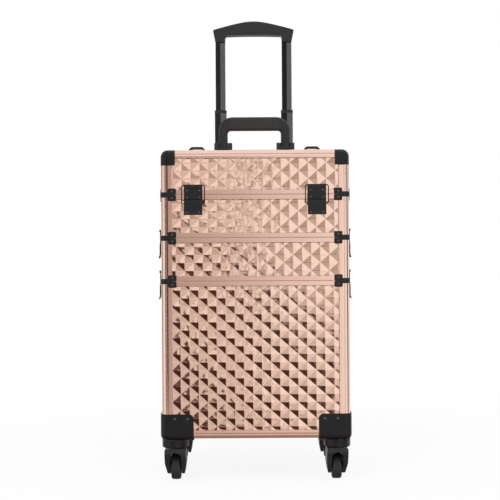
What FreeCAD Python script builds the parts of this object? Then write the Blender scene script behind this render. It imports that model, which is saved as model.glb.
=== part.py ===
import FreeCAD, Part
import math
import os

import Sketcher

# Makeup train case: a castered base, two lift-off trays, a hinged lid and a telescopic handle.
# Millimetres. +Z is up, -Y is the front, X = 0 is the middle of the case.
# Every piece is drawn about the middle of the case; its node then moves by the same step in Y,
# so that the origin lies under the middle of the whole object's box, on the floor.

Vector = FreeCAD.Vector
doc = FreeCAD.newDocument("makeup_train_case")
sheet = doc.addObject("Spreadsheet::Sheet", "Dim")

SIZES = {
    # the case
    "half_wide": 170, "half_deep": 120,
    "base_bottom": 80, "seam_low": 364, "seam_mid": 442, "seam_top": 520, "lid_top": 601,
    "front_reach": 133.7, "rear_reach": 155,
    # frame extrusions, measured inwards from the outer plane of the frame
    "bead_post": 9.4, "groove_post": 12.8, "flange_post": 19,
    "bead_edge": 7.6, "groove_edge": 11, "flange_edge": 15,
    "core": 11, "groove_deep": 1.4, "seat": 0.8, "lip_in": 4,
    "rail_tall": 8.5, "rail_cap": 3, "rail_back": 12, "rim_bevel": 0.9,
    "ledge": 5, "tongue_out": 12.3, "tongue_in": 14, "tongue_tall": 4,
    # boards and embossed skins
    "board_out": 5, "board_in": 10, "floor_thick": 4, "floor_inset": 11.2,
    "apex": 1, "valley": 3.9, "pitch_wide": 32.6, "pitch_tall": 28.9, "window_gap": 0.2,
    # lid hinge
    "rear_rise": 585.8, "pin_out": 2.6, "knuckle": 2.6, "hinge_pin": 1.2, "hinge_half": 110,
    "stile_end": 100.6,
    # corner hardware
    "cap_wide": 26, "cap_tall": 28, "cap_round": 13, "cap_proud": 0.6,
    "clip_thick": 1.4, "band_tall": 4.8, "clip_start": 13, "clip_end": 28, "clip_tall": 11.4,
    # casters
    "guard_wide": 60, "guard_thick": 2.6, "guard_low": 77, "guard_top": 125,
    "boss": 24.2, "boss_low": 62.5, "stem": 5, "swivel_in": 23.1,
    "wheel": 25, "wheel_half": 8.5, "rim": 18, "axle": 3, "trail": 17,
    "fork_top": 61.5, "fork_half": 19.2, "fork_slot": 10.4, "arch_spring": 44, "fork_low": 5,
    # draw latches, n outwards from the seat and t up from the seam
    "latch_half": 16.5, "latch_x": 111, "wire": 1, "bail_half": 20.5, "wire_n": 10.1, "wire_t": 16.3,
    "pivot_n": 10.2, "pivot_t": -11.5, "bail_t": -16.8, "latch_pin": 0.75,
    # trolley handle
    "tube_x": 68, "tube_y": 140, "tube_half": 10, "tube_ridge": 8.5, "tube_slant": 25,
    "tube_wall": 1.6, "tube_gap": 0.35, "outer_top": 562, "outer_low": 92,
    "mid_top": 707, "mid_low": 380, "collar_tall": 6, "inner_low": 440,
    "grip_low": 846.5, "grip_under": 861, "grip_top": 887.6, "grip_half": 82.3, "grip_shoulder": 870.7,
    "grip_deep": 26, "plug": 16, "button_half": 19, "button_deep": 13,
    # carry handle, its brackets and the strap loops
    "handle_half": 68, "handle_top": 674, "handle_under": 649, "leg_wide": 17, "handle_deep": 18,
    "handle_pivot": 614, "handle_pin": 3, "bracket_half": 17, "bracket_top": 625,
    "loop_x": 110, "loop_tall": 17.6, "loop_deep": 14,
    # running clearance of a pin in its hole
    "run": 0.05,
}
for row, (alias, number) in enumerate(SIZES.items(), start=1):
    sheet.set(f"A{row}", alias)
    sheet.set(f"B{row}", str(number))
    sheet.setAlias(f"B{row}", alias)
doc.recompute()

CASE_Y = "(front_reach - rear_reach) / 2"
CORNERS = {"front_left": (-1, -1, 0), "front_right": (1, -1, 90), "rear_right": (1, 1, 180),
           "rear_left": (-1, 1, 270)}
FRONT, RIGHT, REAR, LEFT = 0, 90, 180, 270
nodes = {}


def words(expression):
    """Write every size name of an expression as a cell of the sheet."""
    text = str(expression)
    out = ""
    name = ""
    for letter in text + " ":
        if letter.isalpha() or letter == "_":
            name += letter
            continue
        out += f"Dim.{name}" if name in SIZES else name
        name = ""
        out += letter
    return out.strip()


def value(expression):
    return float(sheet.evalExpression(words(expression)))


def bind(item, prop, expression):
    item.setExpression(prop, words(expression))


def turned(turn, x="0", y="0", z="0"):
    """A placement turned about Z, with its base given by expressions."""
    base = Vector(value(x), value(y), value(z))
    return FreeCAD.Placement(base, FreeCAD.Rotation(Vector(0, 0, 1), turn))


def new_body(name, turn=0, x="0", y="0", z="0"):
    body = doc.addObject("PartDesign::Body", name)
    body.Placement = turned(turn, x, y, z)
    for axis, expression in zip("xyz", (x, y, z)):
        bind(body, f"Placement.Base.{axis}", expression)
    return body


def add_loop(sketch, corners, closed=True):
    """An outline. Each corner is (x, y) or (x, y, radius): with a radius, the side that ends at
    that corner is an arc, and a positive radius turns it counter-clockwise."""
    first = sketch.GeometryCount
    places = [Vector(value(c[0]), value(c[1]), 0) for c in corners]
    count = len(corners)
    sides = count if closed else count - 1
    starts = []
    for i in range(sides):
        here, there = places[i], places[(i + 1) % count]
        bend = corners[(i + 1) % count]
        if len(bend) == 2:
            sketch.addGeometry(Part.LineSegment(here, there), False)
            starts.append((1, 2))
            continue
        radius = value(bend[2])
        chord = there - here
        lift = math.sqrt(max(radius * radius - chord.Length ** 2 / 4, 0))
        side = Vector(-chord.y, chord.x, 0).normalize() * (lift if radius > 0 else -lift)
        centre = (here + there) * 0.5 + side
        begin, end = (here, there) if radius > 0 else (there, here)
        angles = [math.atan2(p.y - centre.y, p.x - centre.x) for p in (begin, end)]
        if angles[1] <= angles[0]:
            angles[1] += 2 * math.pi
        circle = Part.Circle(centre, Vector(0, 0, 1), abs(radius))
        sketch.addGeometry(Part.ArcOfCircle(circle, angles[0], angles[1]), False)
        starts.append((1, 2) if radius > 0 else (2, 1))
    for i in range(sides if closed else sides - 1):
        after = (i + 1) % count
        sketch.addConstraint(Sketcher.Constraint(
            "Coincident", first + i, starts[i][1], first + after, starts[after][0]))
    for i, corner in enumerate(corners):
        side, end = (i, starts[i][0]) if i < sides else (i - 1, starts[i - 1][1])
        for kind, expression in (("DistanceX", corner[0]), ("DistanceY", corner[1])):
            at = sketch.addConstraint(Sketcher.Constraint(
                kind, -1, 1, first + side, end, value(expression)))
            bind(sketch, f"Constraints[{at}]", expression)
        if len(corner) == 3:
            arc = first + (i - 1) % count
            chord = places[i] - places[i - 1]
            if chord.Length > 1.999 * abs(value(corner[2])):
                # a half circle is held by its centre, level with its ends
                level = abs(chord.y) < 1e-6
                kind, expression = ("DistanceY", corner[1]) if level else ("DistanceX", corner[0])
                at = sketch.addConstraint(Sketcher.Constraint(kind, -1, 1, arc, 3, value(expression)))
                bind(sketch, f"Constraints[{at}]", expression)
                continue
            at = sketch.addConstraint(Sketcher.Constraint("Radius", arc, abs(value(corner[2]))))
            bind(sketch, f"Constraints[{at}]", f"abs({corner[2]})")


def add_circle(sketch, x, y, radius):
    at = sketch.addGeometry(
        Part.Circle(Vector(value(x), value(y), 0), Vector(0, 0, 1), value(radius)), False)
    for kind, expression in (("DistanceX", x), ("DistanceY", y)):
        rule = sketch.addConstraint(Sketcher.Constraint(kind, -1, 1, at, 3, value(expression)))
        bind(sketch, f"Constraints[{rule}]", expression)
    rule = sketch.addConstraint(Sketcher.Constraint("Radius", at, value(radius)))
    bind(sketch, f"Constraints[{rule}]", radius)


def new_sketch(body, plane, loops, circles=(), offset="0", closed=True):
    """A sketch on one of the body's own planes: XY, XZ (looking along +Y) or YZ."""
    sketch = body.newObject("Sketcher::SketchObject", f"{body.Name}_sketch")
    origin = [p for p in body.Origin.OriginFeatures if p.Role == f"{plane}_Plane"][0]
    sketch.AttachmentSupport = (origin, [""])
    sketch.MapMode = "FlatFace"
    sign = "-1 * " if plane == "XZ" else ""
    bind(sketch, "AttachmentOffset.Base.z", f"{sign}({offset})")
    for loop in loops:
        add_loop(sketch, loop, closed)
    for circle in circles:
        add_circle(sketch, *circle)
    return sketch


def feature(body, kind, sketch, length, both=False, reverse=False):
    item = body.newObject(f"PartDesign::{kind}", f"{body.Name}_{kind.lower()}")
    item.Profile = sketch
    bind(item, "Length", length)
    if both:
        item.SideType = "Symmetric"
    item.Reversed = reverse
    sketch.Visibility = False
    return item


def round_edges(body, radius, wanted):
    """Round the edges of the body's newest feature that the test picks by their middle and box."""
    doc.recompute()
    base = body.Tip
    names = []
    for i, edge in enumerate(base.Shape.Edges, start=1):
        middle = edge.valueAt((edge.FirstParameter + edge.LastParameter) / 2)
        if wanted(middle, edge.BoundBox):
            names.append(f"Edge{i}")
    item = body.newObject("PartDesign::Fillet", f"{body.Name}_round")
    item.Base = (base, names)
    bind(item, "Radius", radius)
    return item


def prism(name, plane, loops, length, circles=(), offset="0", both=True, turn=0, x="0", y="0", z="0"):
    """A body with a single pad."""
    body = new_body(name, turn, x, y, z)
    feature(body, "Pad", new_sketch(body, plane, loops, circles, offset), length, both)
    return body


def box(name, low, high, turn=0):
    """A box between two corners given by expressions, turned about Z."""
    item = doc.addObject("Part::Box", name)
    for prop, a, b in zip(("Length", "Width", "Height"), low, high):
        bind(item, prop, f"({b}) - ({a})")
    place = turned(turn)
    corner = place.multVec(Vector(*[value(a) for a in low]))
    item.Placement = FreeCAD.Placement(corner, place.Rotation)
    if turn == 0:
        for axis, a in zip("xyz", low):
            bind(item, f"Placement.Base.{axis}", a)
    return item


def rod(name, radius, length, x, y, z):
    """A round bar along X, centred on x."""
    item = doc.addObject("Part::Cylinder", name)
    bind(item, "Radius", radius)
    bind(item, "Height", length)
    item.Placement = FreeCAD.Placement(Vector(), FreeCAD.Rotation(Vector(0, 1, 0), 90))
    for axis, expression in zip("xyz", (f"({x}) - ({length}) / 2", y, z)):
        bind(item, f"Placement.Base.{axis}", expression)
    return item


def node(name, pieces):
    """One named sub-part: its pieces as a group of solids, moved to the object's own origin."""
    item = doc.addObject("Part::Compound", name)
    item.Label = name
    item.Links = pieces
    bind(item, "Placement.Base.y", CASE_Y)
    nodes[name] = item


def side_reach(turn):
    """How far the outer plane of a side lies from the middle, and half that side's length."""
    return ("half_deep", "half_wide") if turn in (FRONT, REAR) else ("half_wide", "half_deep")


# Frame extrusions


def angle_loop(bead, groove, along, down):
    """Corner extrusion, from the outer corner inwards: a round bead, a sloped groove and two flanges
    that cover the edges of the skins."""
    return [("0", bead), (bead, "0", bead), (bead, "groove_deep"), (groove, "seat"), (along, "seat"),
            (along, "lip_in"), ("core", "lip_in"), ("core", "core"), ("lip_in", "core"), ("lip_in", down),
            ("seat", down), ("seat", groove), ("groove_deep", bead)]


def post(name, corner, low, high):
    """An upright of the frame at one corner."""
    x, y, turn = CORNERS[corner]
    loop = angle_loop("bead_post", "groove_post + 0.01", "flange_post", "flange_post")
    return prism(name, "XY", [loop], f"{high} - ({low})", both=False, turn=turn,
                 x=f"{x} * half_wide", y=f"{y} * half_deep", z=low)


def edge_rail(name, turn, level, up, end):
    """A top (up = -1) or bottom (up = 1) edge of the box, between the corner pieces."""
    reach, half = side_reach(turn)
    loop = angle_loop("bead_edge", "groove_edge", "flange_post", "flange_edge")
    loop = [(f"-1 * {reach} + ({c[0]})", f"{up} * ({c[1]})", *[f"{up} * ({r})" for r in c[2:]]) for c in loop]
    return prism(name, "YZ", [loop], f"2 * ({half} - ({end}))", turn=turn, z=level)


def seam_rail(name, turn, level, up, low_end, high_end, tongue=False, ledge=False):
    """A rail on the rim of a section: a channel that holds the board and the skin, its rim bevelled.
    The lower rim of a seam has a tongue, and a bottom rim has a low inner lip that carries the floor."""
    reach, half = side_reach(turn)
    inner = "ledge" if ledge else "rail_tall"
    back = [("rail_back", "0"), ("rail_back", inner)]
    if tongue:
        back = [("tongue_out", "0"), ("tongue_out", "-1 * tongue_tall"), ("tongue_in", "-1 * tongue_tall"),
                ("tongue_in", "rail_cap"), ("rail_back", "rail_cap"), ("rail_back", inner)]
    loop = [("seat + rim_bevel", "0"), *back, ("board_in", inner), ("board_in", "rail_cap"),
            ("lip_in", "rail_cap"), ("lip_in", "rail_tall"), ("seat", "rail_tall"), ("seat", "rim_bevel")]
    loop = [(f"-1 * {reach} + ({v})", f"{up} * ({w})") for v, w in loop]
    body = new_body(name, turn, z=level)
    sketch = new_sketch(body, "YZ", [loop], offset=f"-1 * ({half} - ({low_end}))")
    feature(body, "Pad", sketch, f"2 * {half} - ({low_end}) - ({high_end})")
    return body


def wall_board(name, turn, low, high, start="core", stop="core"):
    reach, half = side_reach(turn)
    return box(name, (f"{start} - {half}", f"board_out - {reach}", low),
               (f"{half} - ({stop})", f"board_in - {reach}", high), turn)


def floor_board(name, low):
    inset = "floor_inset"
    return box(name, (f"{inset} - half_wide", f"{inset} - half_deep", low),
               (f"half_wide - {inset}", f"half_deep - {inset}", f"{low} + floor_thick"))


# Embossed skins: a staggered field of four-sided pyramids, cut off square at the frame


def clipped(polygon, window):
    """The part of a flat polygon inside a window (left, right, low, high)."""
    for axis, limit, keep in ((0, window[0], 1), (0, window[1], -1), (1, window[2], 1), (1, window[3], -1)):
        out = []
        for i, here in enumerate(polygon):
            before = polygon[i - 1]
            a, b = keep * (before[axis] - limit), keep * (here[axis] - limit)
            if (a > 1e-9 and b < -1e-9) or (a < -1e-9 and b > 1e-9):
                share = a / (a - b)
                out.append(tuple(p + (q - p) * share for p, q in zip(before, here)))
            if b >= -1e-9:
                out.append(here)
        polygon = out
        if len(polygon) < 3:
            return []
    return polygon


def embossed_solid(sheet_box, window, phase):
    """A skin in its own plane: x along, z up, y inwards from the outer plane of the frame."""
    half_wide, half_tall = value("pitch_wide") / 2, value("pitch_tall") / 2
    apex, valley = value("apex"), value("valley")
    top, back = value("lip_in"), value("board_out")
    left, right, low, high = window
    faces = []
    rim = {side: set() for side in range(4)}

    def face(points):
        faces.append(Part.Face(Part.makePolygon([*points, points[0]])))

    columns = range(int((left - phase[0]) / half_wide) - 2, int((right - phase[0]) / half_wide) + 3)
    rows = range(int((low - phase[1]) / half_tall) - 2, int((high - phase[1]) / half_tall) + 3)
    centres = [(phase[0] + i * half_wide, phase[1] + j * half_tall) for i in columns for j in rows
               if (i + j) % 2 == 0]
    for cx, cz in centres:
        for sx, sz in ((1, 1), (-1, 1), (-1, -1), (1, -1)):
            beside = (cx + sx * half_wide, cz, valley)
            above = (cx, cz + sz * half_tall, valley)
            shape = clipped([(cx, cz, apex), beside, above], window)
            shape = [tuple(round(c, 6) for c in p) for p in shape]
            shape = [p for i, p in enumerate(shape) if math.dist(p, shape[i - 1]) > 1e-5]
            if len(shape) < 3:
                continue
            points = [Vector(p[0], p[2], p[1]) for p in shape]
            if (points[1] - points[0]).cross(points[2] - points[0]).Length < 1e-4:
                continue
            face(points)
            for i, here in enumerate(points):
                before = points[i - 1]
                for side, (axis, limit) in enumerate((("x", left), ("x", right), ("z", low), ("z", high))):
                    if abs(getattr(before, axis) - limit) < 1e-5 and abs(getattr(here, axis) - limit) < 1e-5:
                        feet = [Vector(p.x, top, p.z) for p in (here, before)]
                        face([before, here, *feet])
                        rim[side].update((round(p.x, 6), round(p.z, 6)) for p in feet)
    inner = sorted(rim[2])[:-1] + sorted(rim[1])[:-1] + sorted(rim[3], reverse=True)[:-1]
    inner += sorted(rim[0], reverse=True)[:-1]
    inner = [Vector(x, top, z) for x, z in inner]
    x0, x1, z0, z1 = sheet_box
    front = [Vector(x, top, z) for x, z in ((x0, z0), (x1, z0), (x1, z1), (x0, z1))]
    rear = [Vector(p.x, back, p.z) for p in front]
    outer_wire, inner_wire = [Part.makePolygon([*loop, loop[0]]) for loop in (front, inner)]
    ring = Part.Face(outer_wire).cut(Part.Face(inner_wire))
    faces.extend(ring.Faces)
    face(rear)
    for i in range(4):
        face([front[i - 1], front[i], rear[i], rear[i - 1]])
    shell = Part.Shell(faces)
    shell.sewShape()
    solid = Part.Solid(shell)
    if solid.Volume < 0:
        solid.reverse()
    return solid


def skin(name, turn, sheet_box, window, phase, lying=False):
    """An embossed skin on one side of a section, or lying on the top of the lid."""
    reach = side_reach(turn)[0]
    gap = value("window_gap")
    inside = (window[0] + gap, window[1] - gap, window[2] + gap, window[3] - gap)
    item = doc.addObject("Part::Feature", name)
    item.Shape = embossed_solid(sheet_box, inside, phase)
    outwards = FreeCAD.Placement(Vector(0, -value(reach), 0), FreeCAD.Rotation())
    item.Placement = turned(turn).multiply(outwards)
    if lying:
        face_up = FreeCAD.Rotation(Vector(1, 0, 0), -90)
        item.Placement = FreeCAD.Placement(Vector(0, 0, value("lid_top")), face_up)
    return item


def wall_skin(name, turn, low, high, rails, phase, stop=None):
    """A skin between the posts, from one rail to the next; rails are how far each covers it."""
    half = value(side_reach(turn)[1])
    core, flange = value("core"), value("flange_post")
    ends = (half - core, half - flange) if stop is None else stop
    sheet_box = (core - half, ends[0], value(low), value(high))
    window = (flange - half, ends[1], value(low) + rails[0], value(high) - rails[1])
    return skin(name, turn, sheet_box, window, phase)


# Corner clips, one half on each side of a seam


def corner_clip(name, corner, level, up):
    x, y, turn = CORNERS[corner]
    body = new_body(name, turn, f"{x} * half_wide", f"{y} * half_deep", level)
    out, over, start, end = "-1 * clip_thick", "clip_thick + bead_post", "clip_start", "clip_end"
    band = [(start, out), (start, "seat"), ("groove_post", "seat"), ("groove_post", "0"), ("bead_post", "0"),
            ("0", "bead_post", "-1 * bead_post"), ("0", "groove_post"), ("seat", "groove_post"),
            ("seat", start), (out, start), (out, "bead_post"), ("bead_post", out, over)]
    feature(body, "Pad", new_sketch(body, "XY", [band]), "band_tall", reverse=up < 0)
    tab = [(start, "0.1"), (f"{end} - 1.6", "0.1"), (end, "1.8"), (end, "clip_tall - 2.4"),
           (f"{end} - 2.4", "clip_tall", "2.4"), (f"{start} + 2.4", "clip_tall"),
           (start, "clip_tall - 2.4", "2.4")]
    tab = [(c[0], f"{up} * ({c[1]})", *[f"{up} * {r}" for r in c[2:]]) for c in tab]
    depth = "seat + clip_thick"
    feature(body, "Pad", new_sketch(body, "XZ", [tab], offset="seat"), depth)
    feature(body, "Pad", new_sketch(body, "YZ", [tab], offset=out), depth)
    return body


def corner_cap(name, corner, low):
    """A black cap over a top corner of the lid, between the ends of the edge rails and the post."""
    x, y, turn = CORNERS[corner]
    body = new_body(name, turn, f"{x} * half_wide", f"{y} * half_deep", "0")
    out, wide = "-1 * cap_proud", "cap_wide"
    loop = [(out, out), (wide, out), (wide, wide), (out, wide)]
    feature(body, "Pad", new_sketch(body, "XY", [loop], offset=low), f"lid_top + cap_proud - ({low})")
    edge, top = value(out), value("lid_top + cap_proud")

    def outside(middle, span):
        on = (abs(middle.x - edge) < 0.01, abs(middle.y - edge) < 0.01, abs(middle.z - top) < 0.01)
        return sum(on) == 2

    round_edges(body, "cap_round", outside)
    over = f"{wide} + 1"
    lower = [("core", "seat"), (over, "seat"), (over, over), ("seat", over), ("seat", "core"),
             ("core", "core")]
    upper = [("core", "core"), (over, "core"), (over, over), ("core", over)]
    for loop, roof in ((lower, "core"), (upper, "seat")):
        sketch = new_sketch(body, "XY", [loop], offset=low)
        feature(body, "Pocket", sketch, f"lid_top - {roof} - ({low})", reverse=True)
    return body


# Draw latches. n is outwards from the seat plane, t is up from the seam.


def latch_loop(corners):
    return [(f"-1 * ({c[0]})", c[1], *[f"-1 * ({r})" for r in c[2:]]) for c in corners]


def latch_pieces(name, turn, along, seam):
    """The strike, the base plate with its pin, the lever and the bail of one latch."""
    reach = side_reach(turn)[0]
    seat = turned(turn).multVec(Vector(value(along), value(f"seat - {reach}"), 0))
    place = {"turn": turn, "x": repr(round(seat.x, 6)), "y": repr(round(seat.y, 6)), "z": seam}
    wide = "2 * latch_half"
    strike_fold = [("0", "0.15"), ("8.6", "0.15"), ("8.6", "13.5"), ("12.8", "13.5"), ("12.8", "17.6"),
                   ("11.9", "17.6"), ("11.9", "15.2"), ("1", "15.2"), ("1", "17.6"), ("0", "17.6")]
    strike_hollow = [("1", "1.35"), ("7.4", "1.35"), ("7.4", "13.5"), ("1", "13.5")]
    plate_fold = [("0", "-0.15"), ("8.2", "-0.15"), ("8.2", "-8.8"), ("1", "-8.8"), ("1", "-16"),
                  ("0", "-16")]
    plate_hollow = [("1", "-1.35"), ("7", "-1.35"), ("7", "-7.6"), ("1", "-7.6")]
    strike_loops = [latch_loop(strike_fold), latch_loop(strike_hollow)]
    strike = prism(f"{name}_strike", "YZ", strike_loops, wide, **place)
    plate_loops = [latch_loop(plate_fold), latch_loop(plate_hollow)]
    plate = prism(f"{name}_plate", "YZ", plate_loops, wide, **place)
    ear = latch_loop([("0.5", "-16"), ("pivot_n - 4", "pivot_t - 2.2"), ("pivot_n", "pivot_t - 2.2"),
                      ("pivot_n", "pivot_t + 2.2", "2.2"), ("0.5", "-3")])
    pin_hole = ("-1 * pivot_n", "pivot_t", "latch_pin")
    for offset in ("-1 * latch_half", "latch_half - 1.3"):
        feature(plate, "Pad", new_sketch(plate, "YZ", [ear], [pin_hole], offset), "1.3")
    pin = new_body(f"{name}_pin", **place)
    feature(pin, "Pad", new_sketch(pin, "YZ", [], [pin_hole]), wide, both=True)
    lever = new_body(f"{name}_lever", **place)
    holes = [("-1 * pivot_n", "pivot_t", "latch_pin + run"), ("-1 * wire_n", "bail_t", "wire + run")]
    tail = [("12.3", "-30"), ("14.5", "-36.4"), ("13.6", "-37"), ("11.1", "-31"), ("11.1", "-19.4"),
            ("8.6", "-19.4")]
    knuckle = [("pivot_n - 1.6", "pivot_t"), ("pivot_n + 1.6", "pivot_t", "-1.6"), ("12.3", "-13.6"), *tail]
    face = [("12.3", "-13.7"), *tail, ("8.6", "-14")]
    flange = latch_loop([("11.7", "-18.6"), ("11.7", "-30.5"), ("2.6", "-26"), ("2.6", "-20.4"),
                         ("4.4", "-18.6")])
    arm = "2 * (latch_half - 1.5)"
    feature(lever, "Pad", new_sketch(lever, "YZ", [latch_loop(knuckle)], holes), arm, both=True)
    feature(lever, "Pad", new_sketch(lever, "YZ", [latch_loop(face)], [holes[1]]), wide, both=True)
    for offset in ("-1 * latch_half", "latch_half - 1.2"):
        feature(lever, "Pad", new_sketch(lever, "YZ", [flange], offset=offset), "1.2")
    bail = new_body(f"{name}_bail", **place)
    half, top, foot, inner, bend = "bail_half", "wire_t", "bail_t", "latch_half - 4", "3.5"
    left = [(f"-1 * ({inner})", foot), (f"{bend} - {half}", foot),
            (f"-1 * {half}", f"{foot} + {bend}", f"-1 * {bend}"), (f"-1 * {half}", f"{top} - {bend}"),
            (f"{bend} - {half}", top, f"-1 * {bend}")]
    right = [(f"{half} - {bend}", top), (half, f"{top} - {bend}", f"-1 * {bend}"), (half, f"{foot} + {bend}"),
             (f"{half} - {bend}", foot, f"-1 * {bend}"), (inner, foot)]
    path = new_sketch(bail, "XZ", [left + right], offset="-1 * wire_n", closed=False)
    profile = new_sketch(bail, "YZ", [], [("-1 * wire_n", "bail_t", "wire")], "4 - latch_half")
    pipe = bail.newObject("PartDesign::AdditivePipe", f"{name}_wire")
    pipe.Profile = profile
    pipe.Spine = (path, [f"Edge{i}" for i in range(1, path.GeometryCount + 1)])
    return strike, [plate, pin], lever, bail


# The sections of the case

SECTIONS = {
    # low seam, high seam, and a pyramid's tip: its distance from the middle and its height
    "base": ("base_bottom", "seam_low", (-5.2, 347.6)),
    "tier_2": ("seam_low", "seam_mid", (3.0, 397.0)),
    "tier_1": ("seam_mid", "seam_top", (-3.9, 490.0)),
    "lid": ("seam_top", "lid_top", (-2.0, 563.0)),
}
SIDES = {"front": FRONT, "right": RIGHT, "rear": REAR, "left": LEFT}
LATCHES = {
    # side of the case, place along that side, seam, holder of the plate, holder of the strike
    "front_left": (FRONT, "-1 * latch_x", "seam_top", "tier_1", "lid"),
    "front_right": (FRONT, "latch_x", "seam_top", "tier_1", "lid"),
    "mid_left": (LEFT, "0", "seam_mid", "tier_2", "tier_1"),
    "mid_right": (RIGHT, "0", "seam_mid", "tier_2", "tier_1"),
    "low_left": (LEFT, "0", "seam_low", "base", "tier_2"),
    "low_right": (RIGHT, "0", "seam_low", "base", "tier_2"),
}
plates = {section: [] for section in SECTIONS}
for spot, (turn, along, seam, holder, upper) in LATCHES.items():
    strike, plate, lever, bail = latch_pieces(f"latch_{spot}", turn, along, seam)
    plates[upper].append(strike)
    plates[holder].extend(plate)
    node(f"latch_lever_{spot}", [lever])
    node(f"latch_bail_{spot}", [bail])

rail, cap, edge = value("rail_tall"), value("rail_cap"), value("flange_edge")
for section, (low, high, tip) in SECTIONS.items():
    boards, skins, frame, clips = [], [], [], []
    bottom, top = section == "base", section == "lid"
    for side, turn in SIDES.items():
        name = f"{section}_{side}"
        if top and side == "rear":
            continue
        tall = section == "tier_1" and side == "rear"
        wall_high = "rear_rise" if tall else high
        wall_low = f"{low} + core" if bottom else f"{low} + rail_cap"
        wall_top = f"{wall_high} - core" if top else f"{wall_high} - rail_cap"
        covers = [edge - value("core") if rim else rail - cap for rim in (bottom, top)]
        start, stop, ends = "core", "core", None
        if top and side == "right":
            stop = "half_deep - stile_end + rail_cap"
            ends = (value("stile_end") - cap, value("stile_end") - rail)
        if top and side == "left":
            start = "half_deep - stile_end + rail_cap"
        boards.append(wall_board(f"{name}_board", turn, wall_low, wall_top, start, stop))
        if top and side == "left":
            mirrored = doc.addObject("Part::Mirroring", f"{name}_skin")
            mirrored.Source = skins[-1]
            mirrored.Normal = Vector(1, 0, 0)
            skins.append(mirrored)
        else:
            skins.append(wall_skin(f"{name}_skin", turn, wall_low, wall_top, covers, tip, ends))
        low_end = "half_deep - stile_end" if top and side == "left" else "flange_post + 0.05"
        high_end = "half_deep - stile_end" if top and side == "right" else "flange_post + 0.05"
        if not bottom:
            frame.append(seam_rail(f"{name}_low_rail", turn, low, 1, low_end, high_end, ledge=not top))
        if not top:
            frame.append(seam_rail(f"{name}_high_rail", turn, wall_high, -1, "flange_post + 0.05",
                                   "flange_post + 0.05", tongue=not tall))
    for corner in CORNERS:
        front = corner.startswith("front")
        if front or not top:
            post_low = f"{low} + bead_edge" if bottom else f"{low} + 0.1"
            post_high = f"{high} - 0.1"
            if section == "tier_1" and not front:
                post_high = "rear_rise"
            if top:
                post_high = "lid_top - cap_tall"
            frame.append(post(f"{section}_{corner}_post", corner, post_low, post_high))
        if not bottom and (front or not top):
            clips.append(corner_clip(f"{section}_{corner}_low_clip", corner, low, 1))
        if not top and (front or section != "tier_1"):
            clips.append(corner_clip(f"{section}_{corner}_high_clip", corner, high, -1))
    if bottom:
        for side, turn in SIDES.items():
            frame.append(edge_rail(f"base_{side}_edge", turn, low, 1, "flange_post + 0.05"))
        boards.append(box("base_floor", ("core - half_wide", "core - half_deep", "base_bottom + board_out"),
                          ("half_wide - core", "half_deep - core", "base_bottom + board_in")))
    elif top:
        for side, turn in SIDES.items():
            frame.append(edge_rail(f"lid_{side}_edge", turn, high, -1, "cap_wide"))
        boards.append(box("lid_roof", ("core - half_wide", "core - half_deep", "lid_top - board_in"),
                          ("half_wide - core", "half_deep - core", "lid_top - board_out")))
        wide, deep = value("half_wide"), value("half_deep")
        core, flange = value("core"), value("flange_post")
        skins.append(skin("lid_roof_skin", FRONT, (core - wide, wide - core, core - deep, deep - core),
                          (flange - wide, wide - flange, flange - deep, deep - flange), (-2.0, 0),
                          lying=True))
        for sign, side in ((1, "right"), (-1, "left")):
            lips = [("seat", "0"), ("rail_back", "0"), ("rail_back", "rail_tall"), ("board_in", "rail_tall"),
                    ("board_in", "rail_cap"), ("lip_in", "rail_cap"), ("lip_in", "rail_tall"),
                    ("seat", "rail_tall")]
            loop = [(f"{sign} * (half_wide - ({v}))", f"stile_end - ({w})") for v, w in lips]
            frame.append(prism(f"lid_{side}_stile", "XY", [loop], both=False, z="seam_top + rail_tall",
                               length="lid_top - flange_edge - seam_top - rail_tall"))
    else:
        boards.append(floor_board(f"{section}_floor", f"{low} + ledge"))
    node(f"{section}_boards", boards)
    node(f"{section}_skins", skins)
    node(f"{section}_frame", frame)
    node(f"{section}_corner_clips", clips)
    node("lid_latch_strikes" if top else f"{section}_latch_plates", plates[section])
node("lid_corner_caps", [corner_cap(f"cap_{c}", c, "lid_top - cap_tall" if c.startswith("front") else
                                    "lid_top - flange_edge") for c in CORNERS])

# Lid hinge: a full-width leaf on the tall rear wall, one on the lid, knuckles in turn on one pin

AXIS_Y, AXIS_Z = "half_deep + pin_out", "lid_top + pin_out"
FIXED_SPANS = ((-110, 44), (-22, 44), (66, 44))
LID_SPANS = ((-65.8, 43.6), (22.2, 43.6))
fixed_leaf = prism("fixed_leaf", "YZ", [[
    ("half_deep - seat", "571"), ("half_deep + 1.6", "571"), ("half_deep + 1.6", "600.6"),
    ("half_deep + 0.15", "600.6"), ("half_deep + 0.15", "rear_rise - 0.4"),
    ("half_deep - seat", "rear_rise - 0.4")]], "2 * hinge_half")
fixed_knuckle = [("half_deep + 0.15", "600"), ("half_deep + 1.6", "600"), (f"{AXIS_Y} + knuckle", AXIS_Z),
                 (f"{AXIS_Y} - knuckle", AXIS_Z, "knuckle")]
for start, length in FIXED_SPANS:
    sketch = new_sketch(fixed_leaf, "YZ", [fixed_knuckle], [(AXIS_Y, AXIS_Z, "hinge_pin")], str(start))
    feature(fixed_leaf, "Pad", sketch, str(length))
hinge_pin = rod("hinge_rod", "hinge_pin", "2 * hinge_half", "0", AXIS_Y, AXIS_Z)
node("hinge_fixed_leaf", [fixed_leaf, hinge_pin])
lid_leaf = prism("lid_leaf", "YZ", [[
    ("half_deep - 18.8", "lid_top - seat"), ("half_deep - 12", "lid_top - seat"),
    ("half_deep - 12", "lid_top + 0.05"), ("half_deep - 0.1", "lid_top + 0.05"),
    ("half_deep - 0.1", "lid_top + 1.5"), ("half_deep - 18.8", "lid_top + 1.5")]], "2 * hinge_half")
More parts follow.
